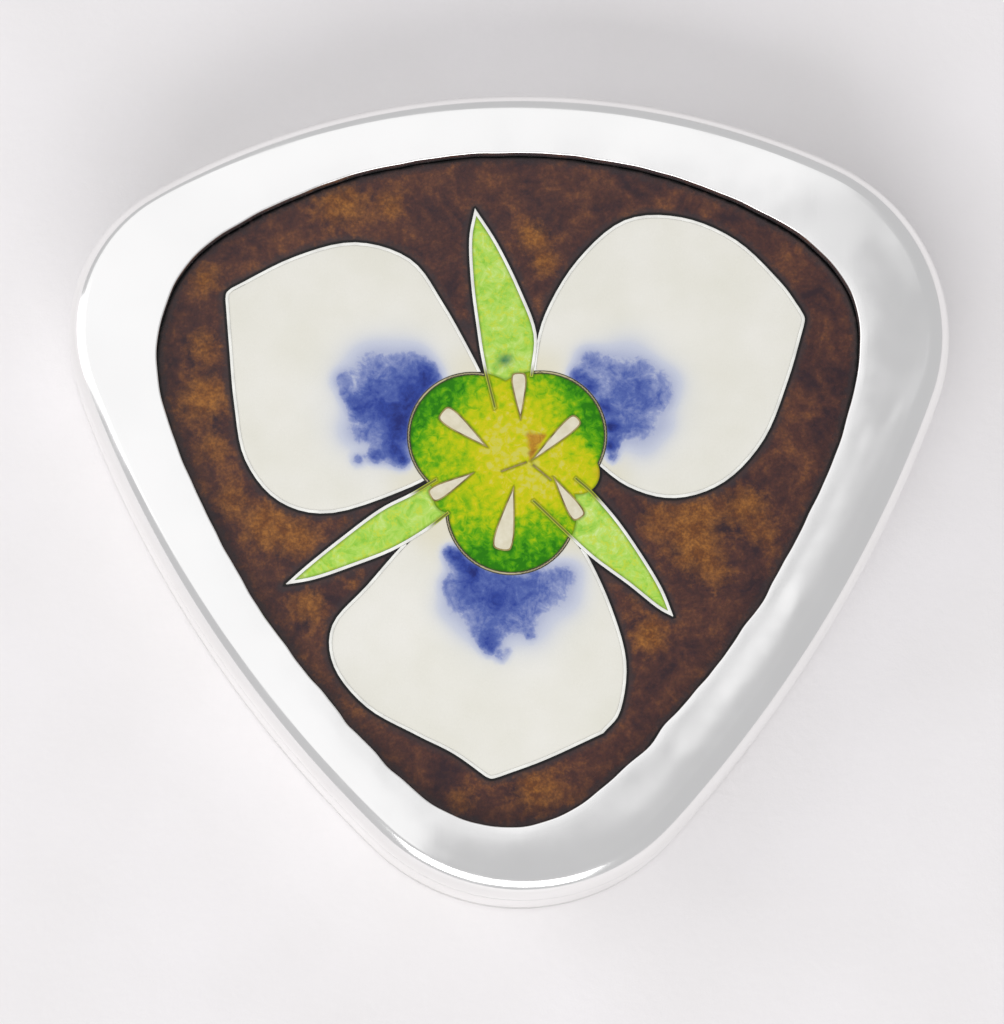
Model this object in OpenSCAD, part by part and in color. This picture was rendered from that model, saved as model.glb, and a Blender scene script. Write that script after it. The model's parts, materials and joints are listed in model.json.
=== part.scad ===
// Enamelled flower pin, worn like a brooch. A domed cloisonne plaque sits behind the front plate of a
// rounded triangular silver case. The recessed back carries a hinged pin stem and a rolling safety catch.
// The flower faces +Z, its top sepal points to +Y, and the rear rim of the case lies on z = 0.

/* [Case] */
// Crown of the front plate above the rear rim
case_h = 6.5; // [6.4:0.1:7.2]
// Thickness of the side band
band_t = 0.9; // [0.7:0.1:1]
// Radius of the rolled shoulder between front plate and side band
roll_r = 1.5; // [1.2:0.1:1.7]
// Height of the solder seam between side band and front plate
seam_z = 4.4; // [4.2:0.1:4.5]
// Rear face of the back plate above the rear rim
recess = 3.4; // [3.3:0.1:3.6]

/* [Plaque] */
// Radius of the plaque's dome
dome_r = 450; // [400:10:600]
// Crown of the enamel above the rear rim
enamel_top = 5.95; // [5.9:0.05:6]
// Depth of the enamel and of the wires that divide it
enamel_d = 0.7; // [0.6:0.05:0.8]
// Width of the plaque's edge that is hidden under the front plate
plaque_lap = 0.6; // [0.4:0.1:0.7]
// Thickness of the petal, sepal and lobe wires
wire_t = 0.17; // [0.12:0.01:0.2]
// Thickness of the stamen and vein wires
fine_t = 0.07; // [0.06:0.01:0.1]

/* [Pin stem] */
// Diameter of the pin stem
stem_d = 0.9; // [0.8:0.05:1]
// Length of the stem's straight stretch
stem_l = 23; // [20:0.5:24]
// Height of the stem above the rear rim
stem_z = 1.5; // [1.45:0.05:1.55]
// Distance of the stem above the middle of the case
stem_y = 7; // [5:0.5:8]
// Distance from the hinge rivet to the middle of the catch
catch_span = 28; // [27:0.5:29]

/* [Catch] */
// Radius of the catch rotor's rim
rotor_r = 1.3; // [1.2:0.05:1.3]
// Reach of the rotor's thumb tab from its axis
tab_reach = 2.2; // [2:0.05:2.25]
// Tilt of the thumb tab below level when the catch is open
tab_tilt = 30; // [25:1:30]

/* [Hidden] */

eps = 0.01;

// Rounded triangles: [x, y, radius] of the corner arcs, counter-clockwise, and the side arcs' radii
case_corners = [[13, 8.5, 10.2], [-14.6, 8.5, 8.6], [0.6, -10.5, 10.9]];
case_sides = [39, 64, 70];
window_corners = [[10.2, 7.2, 8.2], [-10.3, 6.7, 8.3], [-0.2, -10.8, 7]];
window_sides = [29, 48, 49];
corner_steps = 24;
side_steps = 12;

// Depths of the plaque's layers below the top of the enamel
base_t = 0.35;
counter_t = 0.25;
base_depth = enamel_d + base_t;
plaque_depth = base_depth + counter_t;

// Patch of the dome that is drawn: its half width, its swept angle and a margin around all layers
dome_half_w = 25;
dome_angle = 8;
dome_fn = 1440;
dome_margin = 5;

// The front plate's underside clears the dome where the window comes closest to the middle
window_reach = 14.6;
lip_gap = 0.01;
lip_z = enamel_top - window_reach * window_reach / (2 * dome_r) + lip_gap;

// The front plate's shoulder lies below the crown, and its window edge is rounded off in two steps
crown_w = 0.9;
crown_sink = 0.04;
shoulder_sink = 0.15;
shoulder_z = case_h - shoulder_sink;
edge_round = 0.2;
edge_sink = 0.04;
edge_mid = 0.06;
edge_mid_sink = 0.1;

back_plate_t = 0.6;
plate_z = recess + back_plate_t;

seat_gap = 0.05;
seat_wall = 0.4;
seat_ledge_w = 0.9;
seat_ledge_h = 0.15;
pad_t = 0.2;

post_r = 0.8;
screw_r = 0.4;
screw_reach = 1;
screw_head_h = 0.35;
slot_w = 0.24;
slot_d = 0.18;
thread_gap = 0.02;
post_hole_d = 1.3;
screw_spots = [[20.3, 11], [-20.5, 10.5], [3.3, -19.2]];

// Petals: each starts with the turn at its tip and runs counter-clockwise, with a corner hidden under the heart
petal_left = [
    [[-14.7, 10.7], [-14.95, 10.45], [-15, 10.1]],
    [[-15, 10.1], [-14.8, 7.7], [-14.5, 4.5], [-13.9, 1.5], [-12.1, -0.7], [-9.3, -1.3], [-5.2, 0.1],
     [-3.5, 1.2]],
    [[-1.3, 5.6], [-1.9, 6.9], [-3.6, 10], [-5.3, 12.3], [-8.2, 13.2], [-11.4, 12.4], [-14.7, 10.7]],
];
petal_right = [
    [[15.45, 8.9], [15.5, 9.35], [15.25, 9.85]],
    [[15.25, 9.85], [14.2, 11.3], [11.9, 13.5], [9, 14.7], [6, 14.5], [3.5, 12.3], [1.8, 9.4], [1.2, 6.9],
     [1.2, 5.4]],
    [[3.9, 1.9], [6.1, 0.2], [8.6, -0.4], [11.2, 0.5], [13.3, 2.8], [14.6, 6], [15.45, 8.9]],
];
petal_lower = [
    [[-1.3, -15.1], [-1, -15.2], [-0.6, -15.1]],
    [[-0.6, -15.1], [1.8, -14.2], [4.8, -12.8]],
    [[4.8, -12.8], [5.7, -11.6], [6, -9], [5.2, -6.1], [3.9, -3.3], [2.8, -1.9]],
    [[-3, -0.9], [-5.2, -2.5], [-7.5, -5.1], [-9.3, -7.2], [-9.2, -9.4], [-7.5, -11.5], [-5, -12.9],
     [-3, -13.9], [-1.3, -15.1]],
];
PETALS = [petal_left, petal_right, petal_lower];

// Sepals: up one side from the heart to the tip, and back down the other side
sepal_top = [
    [[1.15, 6], [1.35, 8.3], [0.5, 10.7], [-0.7, 13.2], [-1.9, 15.1]],
    [[-1.9, 15.1], [-2.2, 13.4], [-2.1, 11], [-1.8, 8.6], [-1.5, 6.7], [-0.9, 4.2]],
];
sepal_left = [
    [[-3.9, 0.6], [-5.2, -0.2], [-6.9, -1.1], [-9, -2.7], [-10.7, -4.1], [-11.8, -5.1]],
    [[-11.8, -5.1], [-10.2, -4.8], [-8.2, -4.1], [-6.2, -3.3], [-4.5, -2.3], [-3.2, -1.3]],
];
sepal_right = [
    [[1.05, -0.6], [2.6, -2.1], [4.2, -3.6], [6.1, -5], [7.6, -6.2], [8.5, -6.7]],
    [[8.5, -6.7], [7.9, -5.2], [6.9, -3.5], [5.6, -1.6], [4.3, -0.1], [3.4, 0.7]],
];
SEPALS = [sepal_top, sepal_left, sepal_right];

// Heart of the flower: [x, y] of three lobes of one radius, and [x, y, radius] of the spills between them
lobe_r = 3.45;
lobe_left = [-2, 2.8];
lobe_right = [1.6, 2.9];
lobe_lower = [0, -1.1];
LOBES = [lobe_left, lobe_right, lobe_lower];
spills = [[3.5, 0.9, 1.15], [-3.3, -0.5, 0.75]];

// Stamens: [inner point, outer end, width]
stamen_top = [[0.5, 3.7], [0.4, 6.2], 0.8];
stamen_east = [[1.05, 1.5], [3.5, 3.8], 0.75];
stamen_southeast = [[2.2, 0.7], [3.6, -1.5], 0.8];
stamen_south = [[0.15, 0.2], [-0.5, -3.2], 1.05];
stamen_west = [[-1.9, 0.9], [-4.2, -0.4], 0.8];
stamen_northwest = [[-1.2, 2.2], [-3.6, 4.1], 0.95];
STAMENS = [stamen_top, stamen_east, stamen_southeast, stamen_south, stamen_west, stamen_northwest];

// Short loose veins between the stamens: [start, end]
VEINS = [[[-0.5, 0.95], [0.8, 1.45]], [[1.15, 1.3], [2.1, 0.5]]];

// Pin findings
hinge_x = -15;
stem_r = stem_d / 2;
stem_start = 1.5;
stem_root_r = 0.58;
taper_l = 6.5;
tip_r = 0.06;
finding_base_t = 0.4;
finding_base_z = recess - finding_base_t;
finding_half_w = 1.35;
finding_half_l = 1.8;
ear_t = 0.6;
rivet_r = 0.4;
rivet_head_r = 0.65;
rivet_head_h = 0.2;
rivet_gap = 0.04;
running_gap = 0.05;
eye_half_w = 0.6;
eye_r = 0.9;
ear_r = 1.2;
ear_in = eye_half_w + running_gap;
ear_out = ear_in + ear_t;
catch_x = hinge_x + catch_span;
rotor_half_w = 0.5;
hub_r = 0.95;
catch_bore_r = hub_r + running_gap;
cheek_r = 1.35;
cheek_in = rotor_half_w + running_gap;
cheek_out = cheek_in + ear_t;
cheek_foot_w = 2.2;
mouth_w = 1.16;
rotor_bore_r = 0.5;
tab_t = 0.45;
tab_inset = 0.05;

$fn = 48;

// ---- outlines ----

function unit(v) = v / norm(v);
function left_of(v) = [-v[1], v[0]];
function mix(a, b, t) = a * (1 - t) + b * t;
function backwards(p) = [for (i = [len(p) - 1 : -1 : 0]) p[i]];
function raised(p, z) = [for (q = p) [q[0], q[1], z]];

// Centre of the side arc that touches corner arcs a and b from outside
function side_centre(a, b, side_r) =
    let (ra = side_r - a[2], rb = side_r - b[2], d = [b[0] - a[0], b[1] - a[1]], l = norm(d))
    let (along = (l * l + ra * ra - rb * rb) / (2 * l), across = sqrt(ra * ra - along * along))
    [a[0], a[1]] + unit(d) * along + left_of(unit(d)) * across;

function bearing(from, to) = atan2(to[1] - from[1], to[0] - from[0]);
function onward(a0, a1) = a1 < a0 ? a1 + 360 : a1;

// Points of an arc, counter-clockwise, without its last point
function arc(c, r, a0, a1, steps) =
    [for (k = [0 : steps - 1]) let (a = mix(a0, onward(a0, a1), k / steps)) c + r * [cos(a), sin(a)]];

// Six tangent arcs, moved outwards by grow
function rounded_triangle(corners, sides, grow = 0) =
    let (mids = [for (i = [0 : 2]) side_centre(corners[i], corners[(i + 1) % 3], sides[i])])
    [for (i = [0 : 2])
        let (c = [corners[i][0], corners[i][1]], next = corners[(i + 1) % 3], before = mids[(i + 2) % 3])
        each concat(
            arc(c, corners[i][2] + grow, bearing(before, c), bearing(mids[i], c), corner_steps),
            arc(mids[i], sides[i] + grow, bearing(mids[i], c), bearing(mids[i], next), side_steps)
        )
    ];

function case_outline(grow = 0) = rounded_triangle(case_corners, case_sides, grow);
function window_outline(grow = 0) = rounded_triangle(window_corners, window_sides, grow);

// Smooth curve through knots, without its last point
function blend(a, b, c, d, t) =
    (2 * b + (c - a) * t + (2 * a - 5 * b + 4 * c - d) * t * t + (3 * b - a - 3 * c + d) * t * t * t) / 2;
function smooth(p, steps = 5) =
    let (m = len(p), q = concat([2 * p[0] - p[1]], p, [2 * p[m - 1] - p[m - 2]]))
    [for (i = [0 : m - 2]) for (k = [0 : steps - 1]) blend(q[i], q[i + 1], q[i + 2], q[i + 3], k / steps)];

// Moves a line of points to its left by t
function step_left(before, here, after, t) =
    let (n0 = left_of(unit(here - before)), n1 = left_of(unit(after - here)))
    here + t * (n0 + n1) / (1 + n0 * n1);
function inset_line(p, t) =
    let (m = len(p), q = concat([2 * p[0] - p[1]], p, [2 * p[m - 1] - p[m - 2]]))
    [for (i = [1 : m]) step_left(q[i - 1], q[i], q[i + 1], t)];

// A whole side with its last point, and all sides of a petal or sepal joined up
function side_line(side) = concat(smooth(side), [side[len(side) - 1]]);
function outline(sides) = let (m = len(sides))
    [for (i = [0 : m - 1]) let (s = sides[i], end = s[len(s) - 1])
        each concat(smooth(s), end == sides[(i + 1) % m][0] ? [] : [end])];

// Half widths of a stamen along its length, from its point to its blunt end and back
stamen_knots = [[0, 0], [0.35, -0.25], [0.7, -0.46], [0.92, -0.48], [1, -0.3], [1, 0.3], [0.92, 0.48],
    [0.7, 0.46], [0.35, 0.25], [0, 0]];
function stamen_outline(s) =
    let (along = s[1] - s[0], across = left_of(unit(along)) * s[2])
    [for (p = smooth(stamen_knots, 3)) s[0] + along * p[0] + across * p[1]];
function stamen_inside(s) =
    let (along = unit(s[1] - s[0]))
    [s[0] + along * 4 * fine_t, s[1] - along * fine_t, s[2] - 2 * fine_t];

// ---- flat shapes ----

module lobe(at, grow = 0) {
    translate(at) circle(r = lobe_r + grow);
}

module heart_area() {
    for (c = LOBES) lobe(c);
    spill_areas();
}

module spill_areas() {
    for (s = spills) translate([s[0], s[1]]) circle(r = s[2]);
}

module sepal_areas() {
    for (s = SEPALS) polygon(outline(s));
}

module stamen_areas() {
    for (s = STAMENS) polygon(stamen_outline(s));
}

// Strips of wire along the inside of each side
module side_strips(sides) {
    for (s = sides) polygon(concat(side_line(s), backwards(inset_line(side_line(s), wire_t))));
}

module wire_band(sides) {
    intersection() {
        polygon(outline(sides));
        side_strips(sides);
    }
}

module vein_ribbons() {
    for (v = VEINS) {
        side = left_of(unit(v[1] - v[0])) * fine_t / 2;
        polygon([v[0] - side, v[1] - side, v[1] + side, v[0] + side]);
    }
}

module ring(outer, inner) {
    difference() {
        polygon(outer);
        polygon(inner);
    }
}

// Patch of a spherical shell about +Z, between two depths below the top of the enamel
module dome_shell(depth0, depth1) {
    translate([0, 0, enamel_top - dome_r]) rotate([0, -90, 0]) rotate([0, 0, -dome_angle / 2])
        rotate_extrude(angle = dome_angle, $fn = dome_fn) intersection() {
            difference() {
                circle(r = dome_r - depth0, $fn = dome_fn);
                circle(r = dome_r - depth1, $fn = dome_fn);
            }
            translate([dome_r - dome_margin, -dome_half_w]) square([2 * dome_margin, 2 * dome_half_w]);
        }
}

// The part of an outline that lies between two depths of the dome
module dome_layer(depth0, depth1) {
    intersection() {
        linear_extrude(height = case_h) children();
        dome_shell(depth0, depth1);
    }
}

module enamel_layer() {
    dome_layer(0, enamel_d) children();
}

// ---- case ----

function plate_rings() = concat(
    [raised(case_outline(-band_t), seam_z), raised(case_outline(0), seam_z)],
    [for (a = [0 : 15 : 90])
        raised(case_outline(-roll_r * (1 - cos(a))), shoulder_z - roll_r * (1 - sin(a)))],
    [raised(mix(case_outline(-roll_r), window_outline(crown_w), 0.5), case_h - crown_sink)],
    [raised(window_outline(crown_w), case_h)],
    [raised(window_outline(edge_round), case_h - edge_sink)],
    [raised(window_outline(edge_mid), case_h - edge_mid_sink)],
    [raised(window_outline(0), case_h - edge_round - edge_sink)],
    [raised(window_outline(0), lip_z), raised(case_outline(-band_t), lip_z)]
);

module front_plate() {
    rings = plate_rings();
    n = len(rings[0]);
    m = len(rings);
    color([0.93, 0.93, 0.92])
    polyhedron(
        points = [for (r = rings) each r],
        faces = [for (k = [0 : m - 1]) for (j = [0 : n - 1])
            let (this = k * n, next = (k + 1) % m * n, j1 = (j + 1) % n)
            each [[this + j, next + j1, this + j1], [this + j, next + j, next + j1]]]
    );
}

module side_band() {
    color([0.9, 0.9, 0.89]) linear_extrude(height = seam_z) ring(case_outline(0), case_outline(-band_t));
}

module seat_ring() {
    wall_in = plaque_lap + seat_gap;
    color([0.8, 0.8, 0.8]) translate([0, 0, plate_z]) {
        linear_extrude(height = lip_z - plate_z)
            ring(window_outline(wall_in + seat_wall), window_outline(wall_in));
        linear_extrude(height = seat_ledge_h)
            ring(window_outline(wall_in), window_outline(plaque_lap - seat_ledge_w));
    }
}

module back_plate() {
    color([0.84, 0.84, 0.83]) translate([0, 0, recess]) difference() {
        linear_extrude(height = back_plate_t) polygon(case_outline(-band_t - seat_gap));
        for (p = screw_spots) translate([p[0], p[1], -eps])
            cylinder(r = screw_r + running_gap, h = back_plate_t + 2 * eps);
    }
}

module screw_posts() {
    color([0.82, 0.82, 0.8]) for (p = screw_spots) translate([p[0], p[1], plate_z]) difference() {
        cylinder(r = post_r, h = lip_z - plate_z);
        translate([0, 0, -eps]) cylinder(r = screw_r + thread_gap, h = post_hole_d);
    }
}

module back_screws() {
    color([0.75, 0.74, 0.72]) for (p = screw_spots) translate([p[0], p[1], recess]) difference() {
        union() {
            translate([0, 0, -screw_head_h]) cylinder(r = post_r, h = screw_head_h);
            cylinder(r = screw_r, h = back_plate_t + screw_reach);
        }
        translate([-post_r, -slot_w / 2, -screw_head_h - eps]) cube([2 * post_r, slot_w, slot_d]);
    }
}

module backing_pad() {
    color([0.55, 0.4, 0.28]) dome_layer(plaque_depth, plaque_depth + pad_t)
        polygon(window_outline(plaque_lap - seat_ledge_w - seat_gap));
}

// ---- plaque ----

module counter_enamel() {
    color([0.2, 0.2, 0.26]) dome_layer(base_depth, plaque_depth) polygon(window_outline(plaque_lap));
}

module silver_base() {
    color([0.86, 0.86, 0.85]) dome_layer(enamel_d, base_depth) polygon(window_outline(plaque_lap));
}

module ground_enamel() {
    color([0.3, 0.17, 0.1]) enamel_layer() difference() {
        polygon(window_outline(plaque_lap));
        for (p = PETALS) polygon(outline(p));
        sepal_areas();
        heart_area();
    }
}

module petal_wire(p) {
    color([0.93, 0.93, 0.9]) enamel_layer() difference() {
        wire_band(p);
        sepal_areas();
        heart_area();
    }
}

module petal_enamel(p) {
    color([0.88, 0.88, 0.83]) enamel_layer() difference() {
        polygon(outline(p));
        side_strips(p);
        sepal_areas();
        heart_area();
    }
}

module petal_left_wire() petal_wire(petal_left);
module petal_right_wire() petal_wire(petal_right);
module petal_lower_wire() petal_wire(petal_lower);
module petal_left_enamel() petal_enamel(petal_left);
module petal_right_enamel() petal_enamel(petal_right);
module petal_lower_enamel() petal_enamel(petal_lower);

module sepal_wire(s) {
    color([0.93, 0.93, 0.9]) enamel_layer() difference() {
        wire_band(s);
        stamen_areas();
    }
}

module sepal_enamel(s) {
    color([0.6, 0.82, 0.35]) enamel_layer() difference() {
        polygon(outline(s));
        side_strips(s);
        heart_area();
        stamen_areas();
    }
}

module sepal_top_wire() sepal_wire(sepal_top);
module sepal_left_wire() sepal_wire(sepal_left);
module sepal_right_wire() sepal_wire(sepal_right);
module sepal_top_enamel() sepal_enamel(sepal_top);
module sepal_left_enamel() sepal_enamel(sepal_left);
module sepal_right_enamel() sepal_enamel(sepal_right);

// Arc of wire along a lobe's rim, left out where the lobe runs into its neighbours
module lobe_band(at) {
    difference() {
        lobe(at);
        lobe(at, -wire_t);
        for (c = LOBES) if (c != at) lobe(c);
        spill_areas();
        sepal_areas();
    }
}

module lobe_wire(at) {
    color([0.9, 0.86, 0.74]) enamel_layer() lobe_band(at);
}

module lobe_left_wire() lobe_wire(lobe_left);
module lobe_right_wire() lobe_wire(lobe_right);
module lobe_lower_wire() lobe_wire(lobe_lower);

module heart_enamel() {
    color([0.62, 0.75, 0.1]) enamel_layer() difference() {
        heart_area();
        for (c = LOBES) lobe_band(c);
        for (s = SEPALS) wire_band(s);
        stamen_areas();
        vein_ribbons();
    }
}

module vein_wires() {
    color([0.45, 0.36, 0.12]) enamel_layer() difference() {
        vein_ribbons();
        stamen_areas();
    }
}

module stamen_wire(s) {
    color([0.4, 0.32, 0.16]) enamel_layer() ring(stamen_outline(s), stamen_outline(stamen_inside(s)));
}

module stamen_enamel(s) {
    color([0.86, 0.83, 0.74]) enamel_layer() polygon(stamen_outline(stamen_inside(s)));
}

module stamen_top_wire() stamen_wire(stamen_top);
module stamen_east_wire() stamen_wire(stamen_east);
module stamen_southeast_wire() stamen_wire(stamen_southeast);
module stamen_south_wire() stamen_wire(stamen_south);
module stamen_west_wire() stamen_wire(stamen_west);
module stamen_northwest_wire() stamen_wire(stamen_northwest);
module stamen_top_enamel() stamen_enamel(stamen_top);
module stamen_east_enamel() stamen_enamel(stamen_east);
module stamen_southeast_enamel() stamen_enamel(stamen_southeast);
module stamen_south_enamel() stamen_enamel(stamen_south);
module stamen_west_enamel() stamen_enamel(stamen_west);
module stamen_northwest_enamel() stamen_enamel(stamen_northwest);

// ---- pin findings ----

// Cone and discs about an axis along X or Y
module cone_x(r0, r1, x0, x1) {
    translate([x0, 0, 0]) rotate([0, 90, 0]) cylinder(r1 = r0, r2 = r1, h = x1 - x0);
}

module disc_x(r, x0, x1) {
    cone_x(r, r, x0, x1);
}

module disc_y(r, y0, y1) {
    translate([0, y1, 0]) rotate([90, 0, 0]) cylinder(r = r, h = y1 - y0);
}

module at_hinge() {
    translate([hinge_x, stem_y, stem_z]) children();
}

module at_catch() {
    translate([catch_x, stem_y, stem_z]) children();
}

// Strip that is soldered to the back plate and carries a finding
module finding_foot() {
    translate([-finding_half_l, -finding_half_w, finding_base_z - stem_z])
        cube([2 * finding_half_l, 2 * finding_half_w, finding_base_t]);
}

module hinge_ear(y0, y1) {
    difference() {
        union() {
            disc_y(ear_r, y0, y1);
            translate([-ear_r, y0, 0]) cube([2 * ear_r, y1 - y0, finding_base_z - stem_z]);
        }
        disc_y(rivet_r, y0 - 1, y1 + 1);
    }
}

module hinge_base() {
    color([0.83, 0.83, 0.82]) at_hinge() {
        hinge_ear(ear_in, ear_out);
        hinge_ear(-ear_out, -ear_in);
        finding_foot();
    }
}

module hinge_rivet() {
    color([0.78, 0.77, 0.75]) at_hinge() {
        disc_y(rivet_r, -ear_out, ear_out);
        disc_y(rivet_head_r, ear_out, ear_out + rivet_head_h);
        disc_y(rivet_head_r, -ear_out - rivet_head_h, -ear_out);
    }
}

module pin_stem() {
    color([0.7, 0.7, 0.71]) at_hinge() {
        difference() {
            union() {
                disc_y(eye_r, -eye_half_w, eye_half_w);
                cone_x(stem_root_r, stem_r, 0, stem_start);
            }
            disc_y(rivet_r + rivet_gap, -1, 1);
        }
        disc_x(stem_r, stem_start, stem_start + stem_l);
        cone_x(stem_r, tip_r, stem_start + stem_l, stem_start + stem_l + taper_l);
    }
}

module cheek(x0, x1) {
    difference() {
        union() {
            disc_x(cheek_r, x0, x1);
            translate([x0, -cheek_foot_w / 2, 0]) cube([x1 - x0, cheek_foot_w, finding_base_z - stem_z]);
        }
        disc_x(catch_bore_r, x0 - 1, x1 + 1);
        translate([x0 - 1, -mouth_w / 2, -2]) cube([x1 - x0 + 2, mouth_w, 2]);
    }
}

module catch_housing() {
    color([0.83, 0.83, 0.82]) at_catch() {
        cheek(cheek_in, cheek_out);
        cheek(-cheek_out, -cheek_in);
        finding_foot();
    }
}

module catch_rotor() {
    color([0.8, 0.8, 0.78]) at_catch() difference() {
        union() {
            disc_x(rotor_r, -rotor_half_w, rotor_half_w);
            disc_x(hub_r, -cheek_out, cheek_out);
            rotate([tab_tilt, 0, 0]) translate([-rotor_half_w + tab_inset, -tab_reach, -tab_t / 2])
                cube([2 * (rotor_half_w - tab_inset), tab_reach, tab_t]);
        }
        disc_x(rotor_bore_r, -2, 2);
        translate([-2, -rotor_bore_r, -2]) cube([4, 2 * rotor_bore_r, 2]);
    }
}

front_plate();
side_band();
seat_ring();
back_plate();
screw_posts();
back_screws();
backing_pad();
counter_enamel();
silver_base();
ground_enamel();
petal_left_wire();
petal_right_wire();
petal_lower_wire();
petal_left_enamel();
petal_right_enamel();
petal_lower_enamel();
sepal_top_wire();
sepal_left_wire();
sepal_right_wire();
sepal_top_enamel();
sepal_left_enamel();
sepal_right_enamel();
lobe_left_wire();
lobe_right_wire();
lobe_lower_wire();
heart_enamel();
vein_wires();
stamen_top_wire();
stamen_east_wire();
stamen_southeast_wire();
stamen_south_wire();
stamen_west_wire();
stamen_northwest_wire();
stamen_top_enamel();
stamen_east_enamel();
stamen_southeast_enamel();
stamen_south_enamel();
stamen_west_enamel();
stamen_northwest_enamel();
hinge_base();
hinge_rivet();
pin_stem();
catch_housing();
catch_rotor();
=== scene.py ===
"""Looks of the enamelled flower pin: polished silver case, domed cloisonne plaque, steel stem and catch."""

import json
import math

import bmesh
import bpy
import numpy as np
from mathutils import Matrix, Vector
from mathutils.geometry import delaunay_2d_cdt


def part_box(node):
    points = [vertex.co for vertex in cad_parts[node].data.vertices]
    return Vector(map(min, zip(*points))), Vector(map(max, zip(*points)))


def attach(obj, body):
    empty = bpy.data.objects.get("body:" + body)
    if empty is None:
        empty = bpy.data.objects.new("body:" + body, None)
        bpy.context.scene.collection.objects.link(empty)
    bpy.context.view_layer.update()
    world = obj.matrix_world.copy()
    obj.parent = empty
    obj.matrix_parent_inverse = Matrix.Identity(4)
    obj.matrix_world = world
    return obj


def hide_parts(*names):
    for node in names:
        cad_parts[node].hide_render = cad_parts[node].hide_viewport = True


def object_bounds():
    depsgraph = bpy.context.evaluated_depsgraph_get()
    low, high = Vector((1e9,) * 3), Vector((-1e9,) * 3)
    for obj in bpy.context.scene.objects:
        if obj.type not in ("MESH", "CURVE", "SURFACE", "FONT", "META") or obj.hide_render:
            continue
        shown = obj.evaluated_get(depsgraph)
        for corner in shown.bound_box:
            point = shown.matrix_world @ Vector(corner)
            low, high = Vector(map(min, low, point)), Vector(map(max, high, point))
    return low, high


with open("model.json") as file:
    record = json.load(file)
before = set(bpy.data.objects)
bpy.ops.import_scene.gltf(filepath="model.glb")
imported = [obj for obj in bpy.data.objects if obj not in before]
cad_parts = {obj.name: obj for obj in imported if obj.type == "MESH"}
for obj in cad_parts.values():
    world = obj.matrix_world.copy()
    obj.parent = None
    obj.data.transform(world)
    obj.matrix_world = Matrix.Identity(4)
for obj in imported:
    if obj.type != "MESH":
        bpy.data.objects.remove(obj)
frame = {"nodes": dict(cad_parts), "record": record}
CAD_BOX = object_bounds()
MM = 0.001

BODY = {n: b for b, names in frame["record"]["behaviour"]["bodies"].items() for n in names}


# ---- reading the CAD nodes, in millimetres ----

def corners(node):
    """Lowest and highest corner of a CAD node."""
    low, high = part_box(node)
    return np.array(low) / MM, np.array(high) / MM


def place(node, u, v):
    """A point in plan at the given shares of a node's width and height."""
    low, high = corners(node)
    return np.array([low[0] + u * (high[0] - low[0]), low[1] + v * (high[1] - low[1])])


def welded(node):
    """Points and faces of a CAD node, with doubled points merged."""
    mesh = frame["nodes"][node].data
    co = np.zeros(3 * len(mesh.vertices))
    mesh.vertices.foreach_get("co", co)
    points, where = np.unique(np.round(co.reshape(-1, 3) / MM, 4), axis=0, return_inverse=True)
    where = where.reshape(-1)
    return points, [[int(where[v]) for v in f.vertices] for f in mesh.polygons]


def area_of(loop):
    """Area of an outline, negative if it runs clockwise."""
    x, y = loop[:, 0], loop[:, 1]
    return 0.5 * float(np.sum(x * np.roll(y, -1) - np.roll(x, -1) * y))


def plan_loops(node, side=1):
    """Outlines in plan of a node's faces that look up (side 1) or down (side -1), largest first."""
    points, faces = welded(node)
    edges = set()
    for f in faces:
        p = points[f]
        normal = sum(np.cross(p[i] - p[0], p[i + 1] - p[0]) for i in range(1, len(f) - 1))
        if side * normal[2] > 0.9 * np.linalg.norm(normal) > 0:
            edges.update(zip(f, f[1:] + f[:1]))
    after = {}
    for a, b in sorted(edges):
        if (b, a) not in edges:
            after.setdefault(a, []).append(b)
    loops = []
    while after:
        start = min(after)
        loop, here = [], start
        while here in after:
            loop.append(here)
            there = after[here].pop()
            if not after[here]:
                del after[here]
            here = there
        loop = points[loop][:, :2]
        loops.append(loop if area_of(loop) * side > 0 or side > 0 else loop[::-1])
    return sorted(loops, key=lambda p: -abs(area_of(p)))


# ---- plane geometry ----

def inside(points, loops):
    """Which points lie inside the outlines, by the even-odd rule."""
    hit = np.zeros(len(points), bool)
    for loop in loops:
        a, b = loop, np.roll(loop, -1, axis=0)
        for (x0, y0), (x1, y1) in zip(a, b):
            if y0 == y1:
                continue
            crosses = (y0 > points[:, 1]) != (y1 > points[:, 1])
            at = x0 + (points[:, 1] - y0) * (x1 - x0) / (y1 - y0)
            hit ^= crosses & (points[:, 0] < at)
    return hit


def distance(points, loops):
    """Distance of each point from the nearest outline."""
    best = np.full(len(points), 1e9)
    for loop in loops:
        for a, b in zip(loop, np.roll(loop, -1, axis=0)):
            d = b - a
            t = np.clip((points - a) @ d / max(d @ d, 1e-12), 0, 1)
            best = np.minimum(best, np.linalg.norm(points - a - t[:, None] * d, axis=1))
    return best


def offset_points(loop, by):
    """Points of a loop moved to its left."""
    ahead = np.roll(loop, -1, axis=0) - np.roll(loop, 1, axis=0)
    ahead /= np.maximum(np.linalg.norm(ahead, axis=1, keepdims=True), 1e-9)
    return loop + by * np.stack([-ahead[:, 1], ahead[:, 0]], axis=1)


def finer(loop, longest):
    """A loop with its long edges divided."""
    out = []
    for a, b in zip(loop, np.roll(loop, -1, axis=0)):
        n = max(1, math.ceil(np.linalg.norm(b - a) / longest))
        out += [a + (b - a) * k / n for k in range(n)]
    return np.array(out)


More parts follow.
